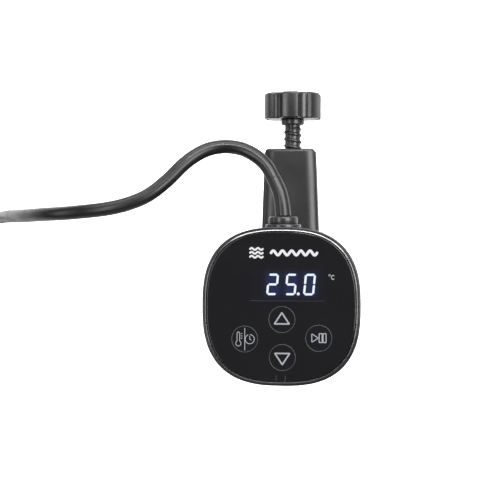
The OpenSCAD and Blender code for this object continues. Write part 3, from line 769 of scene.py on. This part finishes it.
def digit(shape, cx, cy):
    """Seven-segment figure with mitred bars, leaning to the right."""
    w, h, s, air = DIGIT_W / 2, DIGIT_H / 2, STROKE, 0.09
    m = s / 2

    def bar(x0, y0, x1, y1):
        if y0 == y1:
            return [(x0 + air, y0), (x0 + m + air, y0 + m), (x1 - m - air, y0 + m), (x1 - air, y0),
                    (x1 - m - air, y0 - m), (x0 + m + air, y0 - m)]
        return [(x0, y0 - air), (x0 - m, y0 - m - air), (x0 - m, y1 + m + air), (x0, y1 + air),
                (x0 + m, y1 + m + air), (x0 + m, y0 - m - air)]

    x, top = w - m, h - m
    bars = {"a": (-x, top, x, top), "g": (-x, 0, x, 0), "d": (-x, -top, x, -top),
            "b": (x, top, x, 0), "c": (x, 0, x, -top), "f": (-x, top, -x, 0), "e": (-x, 0, -x, -top)}
    return [slab([(cx + px + SLANT * py, cy + py) for px, py in bar(*bars[key])])
            for key in SEGMENTS[shape]]


def display_marks():
    parts = []
    for shape, cx in FIGURES:
        parts += digit(shape, cx, FIGURE_ROW)
    parts.append(slab(arc(9.95, 7.3, 0.85, 0, 342, 19)))
    printed("display_figures", parts, "digits")
    degree = arc(27.6, 17.9, 0.45, 0, 342, 19)
    unit = [(29.5 + 0.85 * math.cos(math.radians(a)), 16.7 + 1.15 * math.sin(math.radians(a)))
            for a in range(50, 311, 13)]
    printed("unit_mark", [stroke(degree, 0.32, True), stroke(unit, 0.5)], "icons")
    left, right_end, low, high = -17.4, 24.8, 3.15, 3.5
    printed("window_edge", [slab([(left, low), (right_end, low), (right_end, high), (left, high)])],
            "window_line")


def wave_mark():
    """A generic water mark: a short stack of waves and one long wave, standing for no maker."""
    parts = []

    def wave(start, end, y, height, length, width):
        steps = max(8, int((end - start) / length * 16))
        points = []
        for i in range(steps + 1):
            x = start + (end - start) * i / steps
            points.append((x, y + height * math.sin(2 * math.pi * (x - start) / length)))
        parts.append(stroke(points, width))

    for y in (28.2, 30.4, 32.6):
        wave(-17.4, -10.2, y, 0.55, 3.6, 1.05)
    wave(-5.5, 20.5, 30.4, 1.25, 5.2, 1.5)
    printed("wave_mark", parts, "printed_white")


KEYS = {"up": (0.65, -7.3), "left": (-20.5, -18.5), "right": (21.5, -17.7), "down": (0.9, -28.8)}
KEY_R = 7.4


def key_rings():
    """Thin raised rings that show where the touch keys are."""
    parts = []
    tube = 0.26
    for cx, cy in KEYS.values():
        rings = []
        for i in range(96):
            a = 2 * math.pi * i / 96
            rings.append([(*mm(cx + r * math.cos(a), cy + r * math.sin(a)), TOP_Z + 0.5 * rise * MM)
                          for r, rise in arc(KEY_R, 0, tube, 0, 324, 9)])
        parts.append(skin(rings, closed=True))
    piece("key_rings", *join(parts), "key_ring", slot="panel_glass")


def key_icons():
    wide = 0.84
    cx, cy = KEYS["up"]
    up = rounded_polygon([(cx - 4.2, cy - 2.4), (cx + 4.2, cy - 2.4), (cx, cy + 3.9)], 0.12)
    cx, cy = KEYS["down"]
    down = rounded_polygon([(cx - 4.2, cy + 2.4), (cx, cy - 3.9), (cx + 4.2, cy + 2.4)], 0.12)
    cx, cy = KEYS["right"]
    play = rounded_polygon([(cx - 3.9, cy + 2.6), (cx - 3.9, cy - 2.2), (cx - 0.2, cy + 0.2)], 0.3)
    bars = [rounded_polygon([(x - 0.85, cy + 2.7), (x - 0.85, cy - 2.3), (x + 0.85, cy - 2.3),
                             (x + 0.85, cy + 2.7)], 0.3) for x in (cx + 1.1, cx + 3.3)]
    triangles = [stroke(up, wide, True), stroke(down, wide, True)]
    run = [stroke(play, 0.5, True)] + [stroke(b, 0.55, True) for b in bars]
    lx, ly = KEYS["left"]
    divider = [stroke([(lx + 0.05, ly + 6.2), (lx + 0.05, ly - 6.2)], 0.4)]
    bulb_x, bulb_y, stem_top = lx - 3.6, ly - 2.4, ly + 3.3
    bulb = arc(bulb_x, bulb_y, 1.5, 120, 420, 20)
    tip = arc(bulb_x, stem_top, 0.75, 0, 180, 4)
    thermometer = [stroke(bulb + tip + [bulb[0]], 0.4)]
    thermometer += [stroke([(bulb_x + 1.5, stem_top - k), (bulb_x + 2.2, stem_top - k)], 0.34)
                    for k in (0.2, 1.5, 2.8)]
    clock_x, clock_y = lx + 2.9, ly
    face = arc(clock_x, clock_y, 2.6, 115, 445, 33)
    hands = [stroke([(clock_x, clock_y + 1.7), (clock_x, clock_y), (clock_x + 0.8, clock_y - 0.5)], 0.4)]
    clock = [stroke(face, 0.42)] + hands
    printed("key_icons", triangles + run + divider + thermometer + clock, "icons")


# ---------------------------------------- neck, tube and base
def neck():
    """The plastic neck: shadow gap at the head, grip ribs below the clamp's collar, soft lower edge."""
    low, high = NECK[0][2], NECK[1][2]
    inner = TUBE_R + 0.15 * MM
    profile = [(inner, low + 6 * MM), (inner, low + 0.5 * MM), (inner + 0.4 * MM, low)]
    profile += arc(NECK_R - 1.6 * MM, low + 1.6 * MM, 1.6 * MM, -90, 0, 6)
    rib_low, ribs, step = low + 8 * MM, 5, 2.6 * MM
    groove_r, gap_r = NECK_R - 0.55 * MM, NECK_R - 0.5 * MM
    for i in range(ribs):
        z = rib_low + i * step
        profile += [(NECK_R, z), (groove_r, z + 0.35 * MM), (groove_r, z + 0.85 * MM),
                    (NECK_R, z + 1.2 * MM)]
    profile += [(NECK_R, high - 1.4 * MM), (gap_r, high - 1.1 * MM), (gap_r, high - 0.05 * MM),
                (NECK_R - 5 * MM, high - 0.05 * MM)]
    piece("neck_skin", *skin(lathe_z(profile, 128), False, False), "housing",
          stands_for=("neck_housing",), sharp=40)


def level_marks():
    """Etched water lines on the tube's front: the lowest, the highest, and short ones between."""
    lowest, highest, step = 135, 205, 10
    long_line, short_line = (17, 0.6), (7, 0.3)
    lines = [(lowest, *long_line), (highest, *long_line)]
    lines += [(z, *short_line) for z in range(lowest + step, highest, step)]
    sunk, proud = TUBE_R - 0.05 * MM, TUBE_R + 0.03 * MM
    parts = []
    for z, degrees_each_way, half in lines:
        rings = []
        for i in range(13):
            a = math.radians(-90 - degrees_each_way + degrees_each_way * i / 6)
            rings.append([(r * math.cos(a), r * math.sin(a), (z + side * half) * MM)
                          for r, side in ((sunk, -1), (proud, -1), (proud, 1), (sunk, 1))])
        parts.append(skin(rings))
    # The lines give off a painted faint glow (faint_marks) of their own, whatever the lamps do.
    piece("level_marks", *join(parts), "faint_marks", slot="tube_steel", smooth=False)


# ---------------------------------------- clamp
ARM_END_Y = BRACKET[1][1]
ARM_TOP = BRACKET[1][2]


def side_outline():
    """Side view of the bracket: points (y, z) with outward normals, round the arm, leg and jaw."""
    arm_low = ARM_TOP - 9 * MM
    leg_y = ARM_END_Y - 16.7 * MM
    leg_low = SCREW_Z - 21 * MM
    jaw_y, jaw_low = 42 * MM, SCREW_Z - 34 * MM
    root_y = 30 * MM
    back_r, foot_r, bend_r = 2 * MM, 4 * MM, 3 * MM
    corners = [(ARM_END_Y - back_r, ARM_TOP - back_r, back_r, 90, 0),
               (ARM_END_Y - foot_r, leg_low + foot_r, foot_r, 0, -90),
               (leg_y + foot_r, leg_low + foot_r, foot_r, -90, -180),
               (leg_y - bend_r, arm_low - bend_r, -bend_r, 0, 90),
               (jaw_y + bend_r, arm_low - bend_r, -bend_r, 90, 180),
               (jaw_y - foot_r, jaw_low + foot_r, foot_r, 0, -90)]
    points = [(root_y, ARM_TOP, 0.0, 1.0)]
    for share in (0.25, 0.5, 0.75):
        points.append((root_y + (ARM_END_Y - back_r - root_y) * share, ARM_TOP, 0.0, 1.0))
    for cy, cz, r, a0, a1 in corners:
        for i in range(7):
            a = math.radians(a0 + (a1 - a0) * i / 6)
            side = 1 if r > 0 else -1
            points.append((cy + abs(r) * math.cos(a), cz + abs(r) * math.sin(a),
                           side * math.cos(a), side * math.sin(a)))
    points.append((root_y, jaw_low, 0.0, -1.0))
    return points


def half_width(y, z):
    """Half of the bracket's width: narrower to the rear and down the leg, rounded at its outer face."""
    root_w, end_w, low_w = 34.7 * MM, 31.2 * MM, 24 * MM
    arm_from, leg_deep, leg_from, leg_long = 44 * MM, 18 * MM, ARM_TOP - 8 * MM, 33 * MM
    wide = root_w + (end_w - root_w) * clamp((y - arm_from) / (ARM_END_Y - arm_from))
    if y > ARM_END_Y - leg_deep:
        wide += (low_w - end_w) * clamp((leg_from - z) / leg_long)
    corner = 2 * MM
    into = clamp((y - ARM_END_Y + corner) / corner)
    return wide / 2 - corner * (1 - math.sqrt(1 - into * into))


def bracket():
    """One moulding: the arm's long top edges are well rounded, all others have small radii."""
    wide, deep, small = 7.2 * MM, 4.0 * MM, 1.1 * MM
    pulls = [0, 0.12, 0.35, 0.7, 1.1, 1.8, 2.7, 3.8, 5.0, 6.1, 7.2]
    outline = side_outline()

    def drop(pull, reach, depth):
        if pull >= reach:
            return 0.0
        u = 1 - pull / reach
        return depth * (1 - math.sqrt(max(0.0, 1 - u * u)))

    stations = [(-1, p * MM) for p in pulls] + [(1, p * MM) for p in reversed(pulls)]
    rings = []
    for side, pull in stations:
        ring = []
        for y, z, ny, nz in outline:
            up_share = ease(nz, 0.55, 1.0)
            e = (1 - up_share) * drop(pull, small, small) + up_share * drop(pull, wide, deep)
            ring.append((side * (half_width(y, z) - pull), y - ny * e, z - nz * e))
        rings.append(ring)
    piece("clamp_body", *skin(rings), "clamp_plastic", stands_for=("clamp_bracket",), sharp=60)


def collar_half():
    """The rear half of the collar round the neck, with its two ears."""
    r0, r1 = NECK_R + 0.02 * MM, NECK_R + 4 * MM
    low, high = SCREW_Z - 26 * MM, ARM_TOP - 1.2 * MM
    soft = 0.9 * MM
    section = arc(r1 - soft, high - soft, soft, 90, 0, 4) + arc(r1 - soft, low + soft, soft, 0, -90, 4)
    section += [(r0, low), (r0, high)]
    rings = []
    for i in range(49):
        a = math.radians(0.8 + (180 - 1.6) * i / 48)
        rings.append([(r * math.cos(a), r * math.sin(a), z) for r, z in section])
    piece("collar_rear", *skin(rings), "clamp_plastic", stands_for=("clamp_bracket",), sharp=50)


def collar_ears():
    """Rounded ears that the collar's screws pass through."""
    parts = []
    x0, x1 = 33 * MM, 40 * MM
    y0, y1 = 0.5 * MM, 6.5 * MM
    z0, z1 = SCREW_Z - 12 * MM, SCREW_Z + 4 * MM
    soft, edge = 2.2 * MM, 0.5 * MM
    outline = [(x0, z0), (x0, z1)] + arc(x1 - soft, z1 - soft, soft, 90, 0, 6)
    outline += arc(x1 - soft, z0 + soft, soft, 0, -90, 6)
    for s in (-1, 1):
        rings = []
        for y, e in ((y0, edge), (y0 + edge, 0), (y1 - edge, 0), (y1, edge)):
            rings.append([(s * (x - (e if x > x0 else 0)), y,
                           z + (e if z < SCREW_Z - 6 * MM else -e)) for x, z in outline])
        parts.append(skin(rings))
    piece("collar_ears", *join(parts), "clamp_plastic", stands_for=("clamp_bracket",), sharp=50)


def brass_insert():
    back, front = INSERT[0][1], INSERT[1][1]
    rim = (INSERT[1][0] - INSERT[0][0]) / 2
    body_r = rim - 0.8 * MM
    bore = 5.62 * MM
    profile = [(bore, back), (body_r, back), (body_r, front - 0.6 * MM), (rim, front - 0.55 * MM),
               (rim, front - 0.2 * MM), (rim - 0.2 * MM, front), (bore + 0.8 * MM, front),
               (bore, front - 0.8 * MM), (bore, back)]
    turned_y("insert_bush", profile, "brass", n=72, solid=False, stands_for=("thread_insert",), sharp=40)


def screw_thread():
    """Right-hand trapezoid thread of 4 mm pitch, with the collar and the plain tip."""
    pitch = 4 * MM
    crest, core = 5.53 * MM, 4.78 * MM
    tip_r = 3.2 * MM
    start = SCREW[0][1] + 6.5 * MM
    end = KNOB[0][1] - 3.6 * MM
    around = 72
    per_turn = 12
    rows = int((end - start) / pitch * per_turn)
    rings = []

    def height(phase):
        return crest - (crest - core) * clamp((abs(phase % 1.0 - 0.55) - 0.11) / 0.18)

    def plain(*stations):
        for y, r in stations:
            rings.append([(x, y, z) for x, z, _ in circle_ring(r, 0, around)])

    plain((SCREW[0][1], 2.6 * MM), (SCREW[0][1] + 0.6 * MM, tip_r), (start - 0.2 * MM, tip_r),
          (start, core))
    for i in range(rows + 1):
        y = start + (end - start) * i / rows
        fade = min(ease(y, start, start + pitch * 0.7), 1 - ease(y, end - pitch * 0.8, end - pitch * 0.2))
        ring = []
        for k in range(around):
            share = k / around
            r = core + (height((y - start) / pitch - share) - core) * fade
            ring.append((r * math.cos(2 * math.pi * share), y, r * math.sin(2 * math.pi * share)))
        rings.append(ring)
    collar = 7.15 * MM
    plain((end, core), (end, collar - 0.8 * MM), (end + 0.8 * MM, collar), (KNOB[0][1] - 0.5 * MM, collar),
          (KNOB[0][1], collar - 0.4 * MM), (KNOB[0][1] + 0.5 * MM, collar - 0.4 * MM))
    verts, faces = skin(rings)
    verts = [(v[0], v[1], v[2] + SCREW_Z) for v in verts]
    piece("screw_spindle", verts, faces, "screw_plastic", body="screw",
          stands_for=("clamp_screw",), sharp=35)


def knob_outline(r, count=216):
    """Polar outline with six flutes, each a circle cut into the rim with softened shoulders."""
    flute_r, flute_at = 5.2 * MM, r + 2.3 * MM
    outline = []
    for k in range(count):
        a = 2 * math.pi * k / count
        from_flute = (math.degrees(a) % 60 + 30) % 60 - 30
        b = math.radians(from_flute)
        inside = flute_r ** 2 - (flute_at * math.sin(b)) ** 2
        cut = flute_at * math.cos(b) - math.sqrt(inside) if inside > 0 else 2 * r
        blend = 0.9 * MM
        h = clamp(0.5 + 0.5 * (cut - r) / blend)
        outline.append((cut + (r - cut) * h - blend * h * (1 - h) * 0.5, a))
    return outline


def knob():
    r = KNOB[1][2] - SCREW_Z
    y0, y1 = KNOB[0][1], KNOB[1][1]
    front_soft, back_soft = 0.8 * MM, 1.5 * MM
    outline = knob_outline(r)

    def ring_at(y, inset=0.0, flat=None):
        return [((flat or rr - inset) * math.cos(a), y, SCREW_Z + (flat or rr - inset) * math.sin(a))
                for rr, a in outline]

    rings = [ring_at(y0, flat=7 * MM)]
    for i in range(6):
        t = math.radians(90 * i / 5)
        rings.append(ring_at(y0 + front_soft * (1 - math.cos(t)), front_soft * (1 - math.sin(t))))
    for i in range(8):
        t = math.radians(90 * i / 7)
        rings.append(ring_at(y1 - back_soft * (1 - math.sin(t)), back_soft * (1 - math.cos(t))))
    dish = 10.2 * MM
    for y, rad in ((y1, dish), (y1 - 0.6 * MM, dish - 0.6 * MM), (y1 - 2 * MM, dish - 0.7 * MM)):
        rings.append(ring_at(y, flat=rad))
    piece("knob_body", *skin(rings), "screw_plastic", body="screw", stands_for=("clamp_knob",),
          sharp=45)


def knob_cap():
    y1 = DISC[1][1]
    r = 9.3 * MM
    profile = [(r, DISC[0][1]), (r, y1 - 0.5 * MM), (r - 0.4 * MM, y1 - 0.15 * MM),
               (r - 1.2 * MM, y1 - 0.1 * MM), (r - 1.6 * MM, y1 - 0.35 * MM), (r - 2.4 * MM, y1 - 0.3 * MM),
               (1e-6, y1)]
    turned_y("knob_inlay", profile, "knob_trim", body="screw", stands_for=("knob_disc",), sharp=40)


def pressure_pad():
    r = PAD[1][0]
    y0, y1 = PAD[0][1], PAD[1][1]
    groove_y = y0 + 0.5 * MM
    profile = [(1e-6, groove_y)]
    for i in range(4):
        rr = (1.6 + 1.7 * i) * MM
        profile += [(rr, groove_y), (rr + 0.2 * MM, y0), (rr + 1.1 * MM, y0),
                    (rr + 1.3 * MM, groove_y)]
    profile += arc(r - 0.7 * MM, y0 + 0.7 * MM, 0.7 * MM, -90, 0, 4) + [(r, y1), (1e-6, y1)]
    turned_y("pad_rubber", profile, "soft_rubber", body="pad", stands_for=("pad_face",), sharp=40)
    h0, h1 = HOLDER[0][1], HOLDER[1][1]
    profile = [(1e-6, h0), (r, h0), (r, h0 + 2.2 * MM)]
    profile += arc(r - 2 * MM, h0 + 2.6 * MM, 2 * MM, 0, 60, 5)
    bore, floor_y = 3.27 * MM, h1 - 3 * MM
    profile += [(6 * MM, h1 - 1 * MM), (5.4 * MM, h1), (bore, h1), (bore, floor_y), (1e-6, floor_y)]
    turned_y("pad_cup", profile, "clamp_plastic", body="pad", stands_for=("pad_holder",), sharp=40)


def jaw_rubber():
    """The fixed jaw's strip with cross ribs that grip a pot's wall."""
    x1, y0, y1 = STRIP[1][0], STRIP[0][1], STRIP[1][1]
    z0, z1 = STRIP[0][2], STRIP[1][2]
    groove_y = y1 - 0.8 * MM
    profile = [(y0, z0), (groove_y, z0)]
    ribs = 9
    pitch = (z1 - z0 - 2 * MM) / ribs
    for i in range(ribs):
        z = z0 + 1 * MM + i * pitch
        profile += [(groove_y, z), (y1, z + 0.5 * MM), (y1, z + pitch - 1 * MM),
                    (groove_y, z + pitch - 0.5 * MM)]
    profile += [(groove_y, z1), (y0, z1)]
    rings = [[(x, min(y, y1 - cut) if y > y0 else y, z) for y, z in profile]
             for x, cut in ((-x1, 1.0 * MM), (-x1 + 0.8 * MM, 0), (x1 - 0.8 * MM, 0), (x1, 1.0 * MM))]
    piece("jaw_rubber", *skin(rings), "soft_rubber", stands_for=("jaw_strip",), sharp=40)


for build in (glass_top, trim_line, bezel, notch_lines, shell, gland, display_marks, wave_mark, key_rings,
              key_icons, neck, level_marks, bracket, collar_half, collar_ears, brass_insert, screw_thread,
              knob, knob_cap, pressure_pad, jaw_rubber):
    build()

# ---------------------------------------- CAD nodes that stay
SLOT_OF = {row["node"]: row["material_slot"] for row in frame["record"]["subparts"]}
BEVELS = {"base_cap": 0.5, "foot_ring": 0.4, "clamp_band": 0.6, "band_screws": 0.25, "steel_tube": 0.12,
          "impeller": 0.2, "shaft_spider": 0.2}
for node, obj in frame["nodes"].items():
    material = M[SLOT_OF[node]]
    if not obj.material_slots:
        obj.data.materials.append(material)
    for s in obj.material_slots:
        s.material = material
    if node in BEVELS:
        bevel = obj.modifiers.new("soft_edges", "BEVEL")
        bevel.width = BEVELS[node] * MM
        bevel.segments = 2
        bevel.limit_method = "ANGLE"
        bevel.angle_limit = math.radians(40)


# ---------------------------------------- stage and light
def stage_floor():
    mesh = bpy.data.meshes.new("floor")
    size, low = 6.0, -0.0005
    corners = [(-size, -size, low), (size, -size, low), (size, size, low), (-size, size, low)]
    mesh.from_pydata(corners, [], [(0, 1, 2, 3)])
    t = Tree("floor_white")
    cloud = t.noise(3, 2)
    t.set(Base_Color=t.blend(cloud, (0.86, 0.86, 0.86), (0.9, 0.9, 0.9)), Roughness=0.9)
    t.set(Emission_Color=(1, 1, 1))
    seen = t.nodes.new("ShaderNodeLightPath").outputs["Is Camera Ray"]
    t.links.new(seen, t.shader.inputs["Emission Strength"])
    mesh.materials.append(t.mat)
    floor = bpy.data.objects.new("floor", mesh)
    scene.collection.objects.link(floor)


def softbox(name, at, aim, long_way, size, power):
    """A rectangular lamp. long_way is the direction of its longer side."""
    data = bpy.data.lights.new(name, "AREA")
    data.shape = "RECTANGLE"
    data.size, data.size_y = size
    data.energy = power
    lamp = bpy.data.objects.new(name, data)
    away = (Vector(at) - Vector(aim)).normalized()
    y_axis = (Vector(long_way) - away * away.dot(Vector(long_way))).normalized()
    lamp.location = at
    lamp.rotation_mode = "QUATERNION"
    lamp.rotation_quaternion = Matrix((y_axis.cross(away), y_axis, away)).transposed().to_quaternion()
    scene.collection.objects.link(lamp)


def surroundings():
    world = bpy.data.worlds.new("studio")
    scene.world = world
    world.use_nodes = True
    nodes, links = world.node_tree.nodes, world.node_tree.links
    path = nodes.new("ShaderNodeLightPath")
    mix = nodes.new("ShaderNodeMix")
    mix.data_type = "RGBA"
    mix.inputs["A"].default_value = (0.12, 0.12, 0.122, 1)
    mix.inputs["B"].default_value = (1, 1, 1, 1)
    links.new(path.outputs["Is Camera Ray"], mix.inputs["Factor"])
    links.new(mix.outputs["Result"], nodes["Background"].inputs["Color"])


stage_floor()
surroundings()
ALONG_X, ALONG_Y = (1, 0, 0), (0, 1, 0)
softbox("right_box", (0.62, 0.4, 1.1), (0, 0.06, 0.36), ALONG_Y, (0.62, 1.3), 24)
softbox("left_box", (-0.43, 0.1, 1.2), (0, 0.06, 0.36), ALONG_Y, (0.22, 0.9), 4.5)
softbox("rear_box", (-0.15, 1.1, 0.68), (0, 0.04, 0.38), ALONG_X, (0.3, 1.3), 10)
softbox("right_low", (1.25, 0.0, 0.68), (0, 0.0, 0.38), ALONG_Y, (0.3, 0.9), 0.9)
softbox("left_low", (-1.25, 0.0, 0.68), (0, 0.0, 0.38), ALONG_Y, (0.3, 0.9), 2.4)
softbox("front_box", (-0.2, -1.5, 0.3), (0, 0, 0.2), ALONG_X, (0.6, 1.6), 2)
softbox("cord_light", (0.06, 0.72, 1.16), (0, 0.08, 0.38), ALONG_X, (0.2, 0.2), 4.5)
